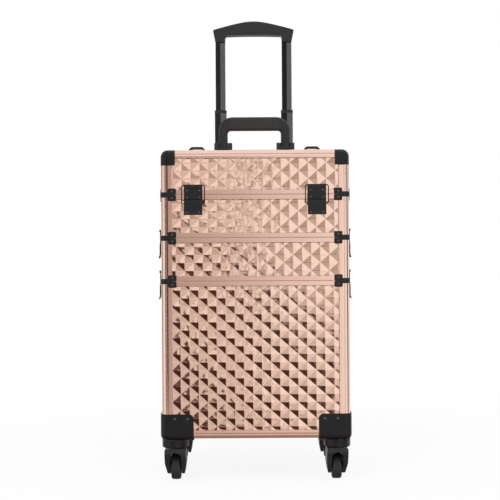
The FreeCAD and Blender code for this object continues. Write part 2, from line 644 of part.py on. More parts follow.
lid_knuckle = [("half_deep - 3", "lid_top + 0.05"), (AXIS_Y, f"{AXIS_Z} - knuckle"),
               (AXIS_Y, f"{AXIS_Z} + knuckle", "knuckle"), ("half_deep - 3", "lid_top + 1.5")]
for start, length in LID_SPANS:
    sketch = new_sketch(lid_leaf, "YZ", [lid_knuckle], [(AXIS_Y, AXIS_Z, "hinge_pin + run")], str(start))
    feature(lid_leaf, "Pad", sketch, str(length))
node("hinge_lid_leaf", [lid_leaf])

# Carry handle on two clevis brackets, and the strap loops beside it

outer = "handle_half"
inner = "handle_half - leg_wide"
arch = [(f"-1 * {outer}", "handle_pivot"), (f"-1 * ({inner})", "handle_pivot"),
        (f"-1 * ({inner})", "handle_under - 6"), (f"6 - ({inner})", "handle_under", "-6"),
        (f"{inner} - 6", "handle_under"), (inner, "handle_under - 6", "-6"), (inner, "handle_pivot"),
        (outer, "handle_pivot"), (outer, "handle_top - 25"), (f"{outer} - 25", "handle_top", "25"),
        (f"25 - {outer}", "handle_top"), (f"-1 * {outer}", "handle_top - 25", "25")]
handle = prism("handle_bow", "XZ", [arch], "handle_deep")
low_end = value("handle_pivot")
half_deep = value("handle_deep") / 2
round_edges(handle, "5", lambda middle, span: abs(abs(middle.y) - half_deep) < 0.01 and
            not (abs(span.ZMin - low_end) < 0.01 and abs(span.ZMax - low_end) < 0.01))
for start in (f"-1 * {outer}", inner):
    sketch = new_sketch(handle, "YZ", [], [("0", "handle_pivot", "handle_deep / 2")], start)
    feature(handle, "Pad", sketch, "leg_wide")
pin_sketch = new_sketch(handle, "YZ", [], [("0", "handle_pivot", "handle_pin + run")])
feature(handle, "Pocket", pin_sketch, "4 * handle_half", both=True)
node("carry_handle", [handle])

brackets, pins, loops = [], [], []
for sign, side in ((-1, "left"), (1, "right")):
    middle = f"{sign} * (handle_half - leg_wide / 2)"
    bracket = new_body(f"bracket_{side}", x=middle, z="lid_top - apex")
    base = [("-1 * bracket_half", "-16"), ("bracket_half", "-16"), ("bracket_half", "16"),
            ("-1 * bracket_half", "16")]
    feature(bracket, "Pad", new_sketch(bracket, "XY", [base]), "2.6")
    rise = "handle_pivot - lid_top + apex"
    height = "bracket_top - lid_top + apex"
    cheek = [("-14", "2"), ("14", "2"), ("10", f"{height} - 4"), ("6", height, "4"), ("-6", height),
             ("-10", f"{height} - 4", "4")]
    thick = "bracket_half - leg_wide / 2 - 0.4"
    for offset in ("-1 * bracket_half", f"bracket_half - ({thick})"):
        sketch = new_sketch(bracket, "YZ", [cheek], [("0", rise, "handle_pin")], offset)
        feature(bracket, "Pad", sketch, thick)
    brackets.append(bracket)
    pins.append(rod(f"handle_pin_{side}", "handle_pin", "2 * bracket_half", middle, "0", "handle_pivot"))
    arc = [("-18", "0"), ("18", "0"), ("17", "8"), ("14.8", "13.6"), ("10", "loop_tall"),
           ("-10", "loop_tall"), ("-14.8", "13.6"), ("-17", "8")]
    hole = [("-13.2", "3"), ("13.2", "3"), ("12.6", "8"), ("11.2", "11.2"), ("8.4", "loop_tall - 4"),
            ("-8.4", "loop_tall - 4"), ("-11.2", "11.2"), ("-12.6", "8")]
    loops.append(prism(f"loop_{side}", "XZ", [arc, hole], "loop_deep", x=f"{sign} * loop_x",
                       z="lid_top - apex"))
node("handle_brackets", brackets)
node("handle_pins", pins)
node("strap_loops", loops)

# Trolley: three stages of six-sided tube behind the case, the outer one fixed to the base


def tube_loop(grow):
    """Six-sided tube outline with a ridge to the front and to the rear, grown by an even offset."""
    ridge = f"(tube_ridge + ({grow}) / cos(tube_slant))"
    wide = f"(tube_half + {grow})"
    side = f"({ridge} - {wide} * tan(tube_slant))"
    return [(wide, f"-1 * {side}"), (wide, side), ("0", ridge), (f"-1 * {wide}", side),
            (f"-1 * {wide}", f"-1 * {side}"), ("0", f"-1 * {ridge}")]


STAGE = "(tube_wall + tube_gap)"
tubes = {"outer": (f"2 * {STAGE}", "outer_low", "outer_top"),
         "mid": (STAGE, "mid_low", "mid_top - collar_tall"),
         "inner": ("0", "inner_low", "grip_low")}
HANDS = {"left": -1, "right": 1}
for stage, (grow, low, high) in tubes.items():
    walls = [tube_loop(grow), tube_loop(f"{grow} - tube_wall")]
    node(f"trolley_{stage}_tubes", [
        prism(f"{stage}_tube_{hand}", "XY", walls, f"{high} - {low}", both=False,
              x=f"{sign} * tube_x", y="tube_y", z=low) for hand, sign in HANDS.items()])
rings = [tube_loop(f"{STAGE} + 0.25"), tube_loop("tube_gap / 2")]
node("trolley_mid_collars", [
    prism(f"collar_{hand}", "XY", rings, "collar_tall", both=False,
          x=f"{sign} * tube_x", y="tube_y", z="mid_top - collar_tall") for hand, sign in HANDS.items()])


def tube_clamp(name, low, high, floor):
    """A crosspiece on the rear of the base that holds both outer tubes; a floor closes it below."""
    body = new_body(name, z=low)
    front, back, half = "half_deep - seat", "rear_reach", "tube_x + 20"
    loop = [(f"-1 * ({half})", front), (half, front), (half, f"{back} - 9"), (f"{half} - 9", back, "9"),
            (f"9 - ({half})", back), (f"-1 * ({half})", f"{back} - 9", "9")]
    feature(body, "Pad", new_sketch(body, "XY", [loop]), f"{high} - {low}")
    for sign in (-1, 1):
        seat = [(f"{sign} * tube_x + {x}", f"tube_y + {y}") for x, y in tube_loop(f"2 * {STAGE}")]
        sketch = new_sketch(body, "XY", [seat], offset=floor)
        feature(body, "Pocket", sketch, f"{high} - {low}", reverse=True)
    return body


node("trolley_foot", [tube_clamp("foot_block", "88.6", "116", "outer_low - 88.6")])
node("trolley_clamp", [tube_clamp("clamp_block", "336", "362", "0")])

grip = new_body("grip_bow", y="tube_y")
shoulder, low, under = "grip_shoulder", "grip_low", "grip_under"
leg_out, leg_in = "tube_x + tube_half", "tube_x - tube_half"
bow = [(f"-1 * ({leg_out})", low), (f"-1 * ({leg_in})", low), (f"-1 * ({leg_in})", f"{under} - 5.2"),
       (f"4 - ({leg_in})", f"{under} - 1", "-4.3"), (f"{leg_in} - 4", f"{under} - 1", "-1400"),
       (leg_in, f"{under} - 5.2", "-4.3"), (leg_in, low), (leg_out, low), ("grip_half", f"{shoulder} - 3"),
       ("grip_half - 1.4", f"{shoulder} + 0.6", "3"), ("30", "grip_top - 3.2", "640"),
       ("-30", "grip_top - 3.2", "142"), ("1.4 - grip_half", f"{shoulder} + 0.6", "640"),
       ("-1 * grip_half", f"{shoulder} - 3", "3")]
feature(grip, "Pad", new_sketch(grip, "XZ", [bow]), "grip_deep", both=True)
face = value("grip_deep") / 2
leg_end = value(low)
round_edges(grip, "2", lambda middle, span: abs(abs(middle.y) - face) < 0.01 and middle.z > leg_end + 0.01)
for sign in (-1, 1):
    plug = [(f"{sign} * tube_x + {x}", y) for x, y in tube_loop("-1 * tube_wall")]
    sketch = new_sketch(grip, "XY", [plug], offset=low)
    feature(grip, "Pad", sketch, "plug", reverse=True)
slot_half, slot_deep = "(button_half + 0.15)", "(button_deep / 2 + 0.15)"
slot = [(f"-1 * {slot_half}", f"-1 * {slot_deep}"), (slot_half, f"-1 * {slot_deep}"),
        (slot_half, slot_deep), (f"-1 * {slot_half}", slot_deep)]
feature(grip, "Pocket", new_sketch(grip, "XY", [slot], offset="grip_top - 14"), "40", reverse=True)
node("trolley_grip", [grip])
button = prism("push_button", "XZ", [[
    ("-1 * button_half", "grip_top - 8"), ("button_half", "grip_top - 8"), ("button_half", "grip_top - 0.2"),
    ("-1 * button_half", "grip_top - 0.2", "115")]], "button_deep", y="tube_y")
node("trolley_button", [button])

# Casters: a corner guard with the swivel housing, then fork, axle and wheel on each


def guard(corner):
    x, y, turn = CORNERS[corner]
    body = new_body(f"guard_{corner}", turn, f"{x} * half_wide", f"{y} * half_deep", "0")
    out, wide = "-1 * guard_thick", "guard_wide - guard_thick"
    bend = "guard_thick + bead_post"
    loop = [(out, "bead_post"), ("bead_post", out, bend), (wide, out), (wide, f"{wide} - 6"),
            (f"{wide} - 6", wide, "6"), (out, wide)]
    feature(body, "Pad", new_sketch(body, "XY", [loop], offset="guard_low"), "guard_top - guard_low")
    hollow = [("0", "bead_post"), ("bead_post", "0", "bead_post"), ("80", "0"), ("80", "80"), ("0", "80")]
    feature(body, "Pocket", new_sketch(body, "XY", [hollow], offset="base_bottom"), "100", reverse=True)
    for level, bend in (("base_bottom", "bead_edge"), ("guard_low", "bead_edge + guard_thick")):
        plane = value(level)
        limit = value(f"{wide} - 8")

        def outer_rim(middle, span):
            flat = abs(span.ZMin - plane) < 0.01 and abs(span.ZMax - plane) < 0.01
            return flat and min(middle.x, middle.y) < 4 and max(middle.x, middle.y) < limit

        round_edges(body, bend, outer_rim)
    top = value("guard_top")
    far = value(wide)

    def upper_corner(middle, span):
        at_end = abs(middle.x - far) < 0.01 or abs(middle.y - far) < 0.01
        return at_end and abs(middle.z - top) < 0.01 and max(span.XLength, span.YLength) < 3.5

    round_edges(body, "9", upper_corner)
    swivel = ("swivel_in", "swivel_in", "boss")
    feature(body, "Pad", new_sketch(body, "XY", [], [swivel], "boss_low"), "guard_low + 1 - boss_low")
    low = value("boss_low")
    round_edges(body, "3", lambda middle, span: abs(middle.z - low) < 0.01)
    bore = new_sketch(body, "XY", [], [("swivel_in", "swivel_in", "stem + run")], "boss_low")
    feature(body, "Pocket", bore, "base_bottom - boss_low + 5", reverse=True)
    return body


def fork(name, x, y):
    """Swivel fork: the front outline is padded through, then trimmed to the side outline."""
    body = new_body(name, x=x, y=y)
    half, slot = "fork_half", "fork_slot"
    right = [("12.6", "fork_low"), ("17.4", "22", "40"), (half, "36", "60"), (half, "fork_top - 4"),
             (f"{half} - 3.4", "fork_top", "3.6")]
    left = [(f"3.4 - {half}", "fork_top"), (f"-1 * {half}", "fork_top - 4", "3.6"), (f"-1 * {half}", "36"),
            ("-17.4", "22", "60"), ("-12.6", "fork_low", "40")]
    gap = [(f"-1 * {slot}", "fork_low"), (f"-1 * {slot}", "arch_spring"),
           (slot, "arch_spring", f"-1 * {slot}"), (slot, "fork_low")]
    legs = gap + right + left
    feature(body, "Pad", new_sketch(body, "XZ", [legs]), "120", both=True)
    frame = [("-70", "-10"), ("90", "-10"), ("90", "90"), ("-70", "90")]
    outline = [("-19", "fork_top + 1"), ("-21", "fork_top - 8"), ("-14", "38", "60"),
               ("trail - 14", "wheel - 6", "90"), ("trail", "wheel - 15.2", "16"),
               ("trail + 15.2", "wheel", "15.2"), ("trail + 13", "42", "60"), ("21", "fork_top - 6", "60"),
               ("19", "fork_top + 1")]
    trim = new_sketch(body, "YZ", [frame, outline], [("trail", "wheel", "axle")])
    feature(body, "Pocket", trim, "80", both=True)
    stem = new_sketch(body, "XY", [], [("0", "0", "stem")], "fork_top - 1")
    feature(body, "Pad", stem, "base_bottom - fork_top")
    return body


def wheel(name, x, y):
    """Solid tyre on a hub, each turned about the axle."""
    pieces = []
    half, rim = "wheel_half", "rim"
    shoulder = "wheel - 0.2526"
    tyre = [(rim, f"1 - {half}"), ("wheel - 3", f"-1 * {half}"), (shoulder, f"3 - {half}", "3.2"),
            (shoulder, f"{half} - 3", "60"), ("wheel - 3", half, "3.2"), (rim, f"{half} - 1")]
    hub = [("axle + run", f"-1 * {half} - 1.5"), ("7", f"-1 * {half} - 1.5"), ("7", f"3 - {half}"),
           ("rim - 4", f"3 - {half}"), ("rim - 2.4", f"1 - {half}"), (rim, f"1 - {half}"),
           (rim, f"{half} - 1"), ("rim - 2.4", f"{half} - 1"), ("rim - 4", f"{half} - 3"),
           ("7", f"{half} - 3"), ("7", f"{half} + 1.5"), ("axle + run", f"{half} + 1.5")]
    for label, loop in (("tyre", tyre), ("hub", hub)):
        body = new_body(f"{name}_{label}", x=x, y=y, z="wheel")
        loop = [(b, a, *[f"-1 * {r}" for r in c]) for a, b, *c in loop]
        sketch = new_sketch(body, "XZ", [loop])
        turn = body.newObject("PartDesign::Revolution", f"{name}_{label}_turn")
        turn.Profile = sketch
        turn.ReferenceAxis = (sketch, ["H_Axis"])
        turn.Angle = 360
        pieces.append(body)
    return pieces


node("caster_guards", [guard(corner) for corner in CORNERS])
for corner, (x, y, turn) in CORNERS.items():
    at_x = f"{x} * (half_wide - swivel_in)"
    at_y = f"{y} * (half_deep - swivel_in)"
    node(f"caster_fork_{corner}", [fork(f"fork_{corner}", at_x, at_y)])
    axle = rod(f"axle_{corner}", "axle", "2 * 16.8", at_x, f"{at_y} + trail", "wheel")
    node(f"caster_axle_{corner}", [axle])
    node(f"caster_wheel_{corner}", wheel(f"wheel_{corner}", at_x, f"{at_y} + trail"))

doc.recompute()
os.makedirs("parts", exist_ok=True)
for item in doc.Objects:
    if any(word in ("Invalid", "Error") for word in item.State):
        raise RuntimeError(f"{item.Name} did not build: {item.State}")
for name, item in nodes.items():
    if item.Shape.isNull() or not item.Shape.isValid():
        raise RuntimeError(f"{name} has no valid shape")
for name, item in nodes.items():
    item.Shape.exportStep(f"parts/{name}.step")
print(len(nodes), "nodes")
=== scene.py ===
# %% [markdown]
# # A rolling makeup train case
#
# The case is a stack of four sections in a rose gold aluminium frame: a deep base on casters, two
# trays that lift off, and a hinged lid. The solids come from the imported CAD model, in metres, with
# +Z up and the front towards -Y. This lesson dresses them: first the camera, then one finish at a
# time with the small fasteners that the CAD leaves out, and at the end the studio round the case.

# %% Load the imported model
import math

import bmesh
import bpy
from mathutils import Matrix, Vector


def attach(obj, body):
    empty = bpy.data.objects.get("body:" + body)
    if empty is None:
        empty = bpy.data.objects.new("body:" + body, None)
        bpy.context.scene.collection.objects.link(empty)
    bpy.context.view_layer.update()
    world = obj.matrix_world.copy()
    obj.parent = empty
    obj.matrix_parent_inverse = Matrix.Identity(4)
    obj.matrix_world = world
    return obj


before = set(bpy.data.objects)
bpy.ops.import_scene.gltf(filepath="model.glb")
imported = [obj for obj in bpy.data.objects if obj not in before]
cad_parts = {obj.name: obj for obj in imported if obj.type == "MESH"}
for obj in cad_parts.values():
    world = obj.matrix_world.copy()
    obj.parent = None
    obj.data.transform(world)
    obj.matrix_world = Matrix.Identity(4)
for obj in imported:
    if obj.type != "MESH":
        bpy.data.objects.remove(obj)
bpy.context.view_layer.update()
scene = bpy.context.scene

# %% [markdown]
# ## The camera
#
# The photograph is taken level and square to the front, from about two metres. At the front of the
# case one pixel is 1.8 mm, which sets the lens once the distance is known. The lens axis passes
# slightly to the left of the middle of the case, and the picture leans by a third of a degree, so
# the camera is moved and rolled by that much.

# %% Place the camera
MM = 0.001
CASE_Y = -10.65 * MM
HALF_WIDE, HALF_DEEP = 170, 120
FRONT_Y = CASE_Y - HALF_DEEP * MM
EYE_ASIDE = -9.5 * MM
EYE_HEIGHT = 420 * MM
EYE_DISTANCE = 1810 * MM
PICTURE_WIDTH = 900 * MM
SENSOR = 36
LEAN = math.radians(0.34)

lens = bpy.data.cameras.new("camera")
lens.sensor_width = SENSOR
lens.lens = SENSOR * EYE_DISTANCE / PICTURE_WIDTH
camera = bpy.data.objects.new("camera", lens)
camera.location = (EYE_ASIDE, FRONT_Y - EYE_DISTANCE, EYE_HEIGHT)
camera.rotation_euler = (math.radians(90), LEAN, 0)
scene.collection.objects.link(camera)
scene.camera = camera
print("lens", round(lens.lens, 2), "mm")

# %% [markdown]
# ## Writing materials as expressions
#
# A Blender material is a graph of nodes. Written out one link at a time it is hard to read, so a
# small class wraps the output of a node: adding or multiplying two of these, or one and a plain
# number, adds the Math node that does it. Every other kind of node is made by one method of the
# graph it belongs to.

# %% A socket that does arithmetic


class Value:
    """The output of a node. Arithmetic on it adds Math nodes to its graph."""

    def __init__(self, graph, socket):
        self.graph = graph
        self.socket = socket

    def __add__(self, other):
        return self.graph.maths("ADD", self, other)

    def __sub__(self, other):
        return self.graph.maths("SUBTRACT", self, other)

    def __rsub__(self, other):
        return self.graph.maths("SUBTRACT", other, self)

    def __mul__(self, other):
        return self.graph.maths("MULTIPLY", self, other)

    def __truediv__(self, other):
        return self.graph.maths("DIVIDE", self, other)

    def __rtruediv__(self, other):
        return self.graph.maths("DIVIDE", other, self)

    def __gt__(self, other):
        return self.graph.maths("GREATER_THAN", self, other)

    def __abs__(self):
        return self.graph.maths("ABSOLUTE", self)

    __radd__ = __add__
    __rmul__ = __mul__

    def rising(self, low, high):
        """0 below low and 1 above high, with a soft step; it falls where low is the larger."""
        return self.graph.node("ShaderNodeMapRange", {"interpolation_type": "SMOOTHSTEP"},
                               {"Value": self, "From Min": low, "From Max": high})


print("shader maths with + - * / > and abs")

# %% [markdown]
# The nodes of a material, or of the world round the scene, live in a tree, and one class adds nodes
# to such a tree. A Mix node has separate sockets for numbers, vectors and colours, so the ones for
# colours are given by their places.

# %% A graph of nodes
MIX_SHARE, MIX_FIRST, MIX_SECOND = 0, 6, 7
MIX_RESULT = 2


class Graph:
    """A tree of shader nodes."""

    def __init__(self, tree):
        self.tree = tree

    def node(self, kind, settings, inputs, output=0):
        """Add a node: its settings come first, then the values or links of its sockets."""
        made = self.tree.nodes.new(kind)
        for name, setting in settings.items():
            setattr(made, name, setting)
        self.feed(made, inputs)
        return Value(self, made.outputs[output])

    def feed(self, made, inputs):
        """Set a node's sockets to values, or link them."""
        for name, given in inputs.items():
            if isinstance(given, Value):
                self.tree.links.new(given.socket, made.inputs[name])
            else:
                made.inputs[name].default_value = given

    def maths(self, operation, *terms):
        return self.node("ShaderNodeMath", {"operation": operation}, dict(enumerate(terms)))

    def parts(self, vector):
        """The X, Y and Z of a vector."""
        first = self.node("ShaderNodeSeparateXYZ", {}, {0: vector})
        return [Value(self, output) for output in first.socket.node.outputs]

    def between(self, share, first, second):
        """A colour from the first to the second, by a share from 0 to 1."""
        first, second = [end if isinstance(end, Value) else (*end, 1) for end in (first, second)]
        return self.node("ShaderNodeMix", {"data_type": "RGBA"},
                         {MIX_SHARE: share, MIX_FIRST: first, MIX_SECOND: second}, MIX_RESULT)


print("graphs of nodes")

# %% [markdown]
# A finish is a graph with a Principled shader, which covers metal, paint, plastic and cloth. Its
# patterns are measured in metres on the object itself, so they stay where they are on a part when
# the part moves. Noise drawn out along one axis turns from spots into lines.

# %% A finish


class Finish(Graph):
    """A material with one Principled shader and the nodes that feed it."""

    def __init__(self, name):
        self.material = bpy.data.materials.new(name)
        self.material.use_nodes = True
        super().__init__(self.material.node_tree)
        self.shader = self.tree.nodes["Principled BSDF"]
        self.place = self.node("ShaderNodeTexCoord", {}, {}, "Object")

    def noise(self, size, detail=2.0, pace=(1, 1, 1)):
        """Spots of about this size in metres; a low pace draws them out along that axis."""
        spots = self.node("ShaderNodeVectorMath", {"operation": "MULTIPLY"},
                          {0: self.place, 1: pace})
        return self.node("ShaderNodeTexNoise", {},
                         {"Vector": spots, "Scale": 1 / size, "Detail": detail})

    def bump(self, height, strength, depth, normal=None):
        inputs = {"Height": height, "Strength": strength, "Distance": depth}
        return self.node("ShaderNodeBump", {}, inputs | ({"Normal": normal} if normal else {}))

    def wear(self, **inputs):
        """Set sockets of the Principled shader; underscores stand for spaces in their names."""
        self.feed(self.shader, {name.replace("_", " "): given for name, given in inputs.items()})
        return self.material


def dress(material, *names):
    """Give a finish to CAD nodes."""
    for name in names:
        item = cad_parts[name]
        item.data.materials.clear()
        item.data.materials.append(material)
    print(material.name, "on", len(names), "nodes")


print("finishes for", len(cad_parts), "nodes")

# %% [markdown]
# ## The aluminium frame
#
# The posts and rails are drawn through a die and then anodised in rose gold, so they are metal,
# with a soft satin gloss and very fine lines along their length. The lines are too fine to model,
# so two drawn-out noises make them, one upwards for the posts and one sideways for the rails. One
# mask tells these apart: a post stands in the corner, far from the middle in both directions. A
# Bevel node rounds the light on the edges, which are too fine to be rounded in the CAD.

# %% Rose gold extrusions
SECTIONS = ("base", "tier_2", "tier_1", "lid")
POST_X = 151.1 * MM
POST_Y = 101.1 * MM
DRAWN_OUT = 0.01
DEEP_ROSE, PALE_ROSE = (0.87, 0.60, 0.50), (0.93, 0.655, 0.55)

anodised = Finish("rose_gold_anodised")
sideways, front_to_back, _ = anodised.parts(anodised.place)
in_post = (abs(sideways) > POST_X) * (abs(front_to_back - CASE_Y) > POST_Y)
along_post = anodised.noise(0.8 * MM, pace=(1, 1, DRAWN_OUT))
along_rail = anodised.noise(0.8 * MM, pace=(DRAWN_OUT, DRAWN_OUT, 1))
lines = in_post * along_post + (1 - in_post) * along_rail
softened = anodised.node("ShaderNodeBevel", {"samples": 4}, {"Radius": 1 * MM})
dress(anodised.wear(Base_Color=anodised.between(anodised.noise(60 * MM), DEEP_ROSE, PALE_ROSE),
                    Metallic=1.0, Roughness=0.1 + 0.08 * lines,
                    Normal=anodised.bump(lines, strength=0.12, depth=0.1 * MM, normal=softened)),
      *[f"{section}_frame" for section in SECTIONS])

# %% [markdown]
# ## The embossed skins
#
# The panels are a metallised film on a thin sheet, pressed into rows of four-sided pyramids. A bump
# in the material could suggest them, but only real facets mirror the room one by one. The CAD holds
# the pyramids, so the finish only has to be a nearly sharp mirror: each facet then shows one part
# of the room, which gives the light, middle and dark triangles. A faint waviness keeps the
# reflections from being too perfect, and a Bevel node rounds the ridges.

# %% Metallised film
DEEP_FILM, PALE_FILM = (0.90, 0.645, 0.53), (0.95, 0.69, 0.57)

film = Finish("rose_gold_film")
waves = film.noise(9 * MM, detail=0.0)
speckle = film.noise(0.5 * MM)
rounded = film.node("ShaderNodeBevel", {"samples": 4}, {"Radius": 1.5 * MM})
dress(film.wear(Base_Color=film.between(waves, DEEP_FILM, PALE_FILM), Metallic=1.0,
                Roughness=0.06 + 0.05 * speckle,
                Normal=film.bump(waves, strength=0.2, depth=1 * MM, normal=rounded)),
      *[f"{section}_skins" for section in SECTIONS])

# %% [markdown]
# ## Black parts
#
# The hardware is black, but not all the same. Pressed steel parts such as latches, clips and hinge
# leaves have a smooth satin paint. Moulded parts such as forks and handles have a fine grain and a
# duller gloss, and the caps and guards on the corners are smoother and darker. All are a dark base
# with noise in the roughness and a shallow bump, so one function makes them from a few numbers.

# %% Painted steel and moulded plastic
CORNERS = ("front_left", "front_right", "rear_right", "rear_left")
LATCHES = ("front_left", "front_right", "mid_left", "mid_right", "low_left", "low_right")


def black(name, low, high, roughness, grain, depth, shine):
    """A black finish between two colours; grain is the size of its bump and depth its height."""
    finish = Finish(name)
    patch = finish.noise(25 * MM)
    fine = finish.noise(grain, detail=3.0)
    return finish.wear(Base_Color=finish.between(patch, low, high),
                       Roughness=roughness + 0.14 * patch, Specular_IOR_Level=shine,
                       Normal=finish.bump(fine, strength=0.25, depth=depth))


painted = black("satin_black_paint", (0.006, 0.006, 0.0065), (0.011, 0.011, 0.0115),
                roughness=0.3, grain=1.2 * MM, depth=0.05 * MM, shine=0.32)
moulded = black("moulded_black", (0.013, 0.013, 0.014), (0.021, 0.021, 0.022),
                roughness=0.34, grain=0.6 * MM, depth=0.12 * MM, shine=0.36)
smooth = black("smooth_moulded_black", (0.004, 0.004, 0.0045), (0.008, 0.008, 0.0085),
               roughness=0.28, grain=0.6 * MM, depth=0.06 * MM, shine=0.3)
wire = black("black_wire", (0.012, 0.008, 0.008), (0.02, 0.013, 0.012),
             roughness=0.18, grain=2 * MM, depth=0.02 * MM, shine=0.22)
dress(painted, "hinge_fixed_leaf", "hinge_lid_leaf", "lid_latch_strikes",
      *[f"{section}_corner_clips" for section in SECTIONS],
      *[f"{section}_latch_plates" for section in SECTIONS if section != "lid"],
      *[f"latch_lever_{spot}" for spot in LATCHES])
dress(wire, *[f"latch_bail_{spot}" for spot in LATCHES])
dress(smooth, "lid_corner_caps", "caster_guards")
dress(moulded, "handle_brackets", "strap_loops", "carry_handle", "trolley_foot", "trolley_clamp",
      "trolley_mid_collars", "trolley_grip", "trolley_button",
      *[f"caster_fork_{spot}" for spot in CORNERS])

# %% [markdown]
# The film beside the latches, clips and guards shows hardly any black reflections in the
# photograph, so these parts hide from mirror rays. The latch plates don't, because without them the
# narrow gaps round a lever would mirror the film behind.

# %% Parts that mirrors don't show
STARTS, END = ("latch_", "lid_latch_", "caster_guards"), "_corner_clips"
hidden = [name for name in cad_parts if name.startswith(STARTS) or name.endswith(END)]
for name in hidden:
    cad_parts[name].visible_glossy = False
print(len(hidden), "nodes hide from mirrors")

# %% [markdown]
# ## The sleeve of the carry handle
#
# The carry handle is one moulding with a softer sleeve over its middle, which ends in two slanting
# seams. A sleeve of its own would have to follow the handle's shape, so it is cut out of a copy of
# the handle: one plane takes the legs away, two slanting planes cut the ends, and what is left is
# closed and grown by the thickness of the sleeve.

# %% Sleeve of the carry handle
HANDLE_TOP = 674 * MM
LEGS_BELOW = HANDLE_TOP - 29.5 * MM
SLEEVE_HALF = 44 * MM
SEAM_SLOPE = 0.24
SLEEVE_THICK = 0.35 * MM
SAME_POINT = 0.001 * MM
SHARP = math.radians(35)

cover = bmesh.new()
cover.from_mesh(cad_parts["carry_handle"].data)
bmesh.ops.remove_doubles(cover, verts=cover.verts, dist=SAME_POINT)
cuts = [((0, 0, LEGS_BELOW), (0, 0, -1)),
        ((SLEEVE_HALF, 0, HANDLE_TOP), (1, 0, SEAM_SLOPE)),
        ((-SLEEVE_HALF, 0, HANDLE_TOP), (-1, 0, SEAM_SLOPE))]
for place, beyond in cuts:
    whole = [*cover.verts, *cover.edges, *cover.faces]
    bmesh.ops.bisect_plane(cover, geom=whole, plane_co=place, plane_no=beyond, clear_outer=True)
    bmesh.ops.holes_fill(cover, edges=[edge for edge in cover.edges if edge.is_boundary])
cover.normal_update()
for vert in cover.verts:
    vert.co += vert.normal * SLEEVE_THICK
sleeve_mesh = bpy.data.meshes.new("handle_sleeve")
cover.to_mesh(sleeve_mesh)
cover.free()
sleeve_mesh.shade_smooth()
sleeve_mesh.set_sharp_from_angle(angle=SHARP)
soft = black("soft_black_sleeve", (0.022, 0.02, 0.0195), (0.03, 0.0275, 0.027),
             roughness=0.42, grain=0.8 * MM, depth=0.15 * MM, shine=0.36)
sleeve_mesh.materials.append(soft)
sleeve = bpy.data.objects.new("handle_sleeve", sleeve_mesh)
scene.collection.objects.link(sleeve)
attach(sleeve, "carry_handle")
print("sleeve", len(sleeve_mesh.polygons), "faces")

# %% [markdown]
# ## Tubes, tyres, pins and lining
#
# The trolley tubes are anodised black, which is smoother than paint and shows straight reflections,
# so they are a dark metal with lines along them. Tyres are dull rubber with scuffs. The pins are
# plain steel with turning marks. The boards are covered with a black lining that only shows when
# the case is open, and its nap is a fine bump.

# %% The remaining finishes
tube = Finish("black_anodised")
drawn = tube.noise(0.7 * MM, pace=(1, 1, DRAWN_OUT))
tube_tint = tube.between(tube.noise(40 * MM), (0.095, 0.095, 0.097), (0.115, 0.115, 0.117))
dress(tube.wear(Base_Color=tube_tint, Metallic=1.0, Roughness=0.07 + 0.06 * drawn,
                Normal=tube.bump(drawn, strength=0.1, depth=0.05 * MM)),
      "trolley_outer_tubes", "trolley_mid_tubes", "trolley_inner_tubes")

rubber = Finish("tyre_rubber")
scuff = rubber.noise(4 * MM, detail=4.0)
dress(rubber.wear(Base_Color=rubber.between(scuff, (0.012, 0.012, 0.012), (0.024, 0.024, 0.024)),
                  Roughness=0.5 + 0.3 * scuff,
                  Normal=rubber.bump(scuff, strength=0.2, depth=0.2 * MM)),
      *[f"caster_wheel_{spot}" for spot in CORNERS])

steel = Finish("plain_steel")
turning = steel.noise(0.4 * MM, pace=(1, 0.1, 0.1))
dress(steel.wear(Base_Color=steel.between(turning, (0.36, 0.36, 0.37), (0.5, 0.5, 0.51)),
                 Metallic=1.0, Roughness=0.3 + 0.15 * turning,
                 Normal=steel.bump(turning, strength=0.1, depth=0.05 * MM)),
      "handle_pins", *[f"caster_axle_{spot}" for spot in CORNERS])

lining = Finish("black_lining")
nap = lining.noise(0.9 * MM, detail=4.0)
dress(lining.wear(Base_Color=lining.between(nap, (0.012, 0.012, 0.014), (0.03, 0.03, 0.033)),
                  Roughness=0.85 + 0.1 * nap,
                  Normal=lining.bump(nap, strength=0.5, depth=0.3 * MM)),
      *[f"{section}_boards" for section in SECTIONS])

# %% [markdown]
# ## Rivets
#
# Every clip, latch and guard is held by rivets with a low domed head. They are small and many, so
# one mesh holds all the rivets of a part. Each head is turned from a short profile, its radius and
# height given ring by ring up to the tip, and set on the side of the case that it sits on. Like the
# parts that they hold, they hide from mirrors.

# %% Domed heads on any side of the case
RING = 14
DOME = ((1.0, -0.3), (1.0, 0.25), (0.88, 0.62), (0.55, 0.92))

nickel = Finish("black_nickel")
dulled = nickel.noise(3 * MM)
nickel.wear(Base_Color=nickel.between(dulled, (0.11, 0.105, 0.105), (0.17, 0.16, 0.16)),
            Metallic=1.0, Roughness=0.16 + 0.12 * dulled,
            Normal=nickel.bump(dulled, strength=0.1, depth=0.1 * MM))


